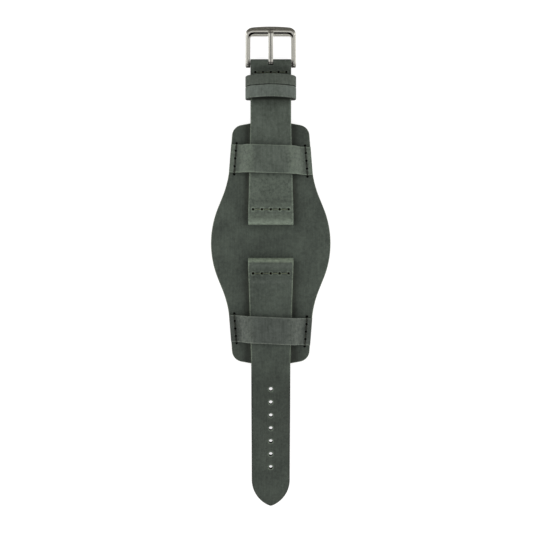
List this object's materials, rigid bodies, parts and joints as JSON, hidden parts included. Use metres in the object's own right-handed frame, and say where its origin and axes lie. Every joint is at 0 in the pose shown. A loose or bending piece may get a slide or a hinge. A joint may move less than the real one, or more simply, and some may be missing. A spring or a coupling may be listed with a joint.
{
  "type": "bund watch strap",
  "caption": "Two-piece leather watch strap threaded through two sewn bridges on a waisted leather cuff pad, with keepers and a steel pin buckle.",
  "frame": {"origin": "middle of the cuff pad's underside, the face that lies on the wrist", "axes": "+X across the strap, +Y from the pad towards the buckle, +Z away from the wrist"},
  "size_m": [0.0582, 0.2346, 0.0094],
  "materials": {
    "pull_up_leather": "matt waxed olive-grey leather with dark cut edges",
    "lining_leather": "natural tan lining leather",
    "waxed_thread": "waxed olive thread",
    "polished_steel": "polished stainless steel",
    "spring_steel": "bright spring wire"
  },
  "bodies": {
    "cuff_pad": {"pad_upper": "pull_up_leather", "pad_lining": "lining_leather", "buckle_side_bridge": "pull_up_leather", "tail_side_bridge": "pull_up_leather", "buckle_side_left_stitching": "waxed_thread", "buckle_side_right_stitching": "waxed_thread", "tail_side_left_stitching": "waxed_thread", "tail_side_right_stitching": "waxed_thread"},
    "buckle_strap": {"buckle_strap_upper": "pull_up_leather", "buckle_strap_lug_fold": "pull_up_leather", "buckle_strap_buckle_fold": "pull_up_leather", "buckle_strap_lining": "lining_leather", "buckle_strap_lug_stitching": "waxed_thread", "buckle_strap_end_stitching": "waxed_thread", "fixed_keeper": "pull_up_leather", "spring_bar_tube": "polished_steel", "spring_bar_spring": "spring_steel"},
    "tail_strap": {"tail_strap_upper": "pull_up_leather", "tail_strap_lug_fold": "pull_up_leather", "tail_strap_lining": "lining_leather", "tail_strap_lug_stitching": "waxed_thread"},
    "free_keeper": {"free_keeper": "pull_up_leather"},
    "buckle_frame": {"buckle_frame": "polished_steel"},
    "buckle_tongue": {"buckle_tongue": "polished_steel"},
    "plunger_left": {"spring_bar_plunger_left": "polished_steel"},
    "plunger_right": {"spring_bar_plunger_right": "polished_steel"}
  },
  "joints": [
    {"name": "buckle_strap_slide", "type": "slide", "parent": "cuff_pad", "child": "buckle_strap", "axis": [0, 1, 0], "range_m": [-0.004, 0.0115]},
    {"name": "tail_strap_slide", "type": "slide", "parent": "cuff_pad", "child": "tail_strap", "axis": [0, -1, 0], "range_m": [-0.008, 0.013]},
    {"name": "free_keeper_slide", "type": "slide", "parent": "buckle_strap", "child": "free_keeper", "axis": [0, -1, 0], "range_m": [0, 0.0063]},
    {"name": "buckle_frame_swing", "type": "hinge", "parent": "buckle_strap", "child": "buckle_frame", "pos_m": [0, 0.08715, 0.0043], "axis": [1, 0, 0], "range_deg": [-90, 40]},
    {"name": "buckle_tongue_swing", "type": "hinge", "parent": "buckle_frame", "child": "buckle_tongue", "pos_m": [0, 0.08715, 0.0043], "axis": [1, 0, 0], "range_deg": [0, 60]},
    {"name": "plunger_left_press", "type": "slide", "parent": "buckle_strap", "child": "plunger_left", "axis": [1, 0, 0], "range_m": [0, 0.00088], "stiffness_N_per_m": 300, "springref_m": -0.003, "deforming": ["spring_bar_spring"]},
    {"name": "plunger_right_press", "type": "slide", "parent": "buckle_strap", "child": "plunger_right", "axis": [-1, 0, 0], "range_m": [0, 0.00088], "stiffness_N_per_m": 300, "springref_m": -0.003, "deforming": ["spring_bar_spring"]}
  ]
}
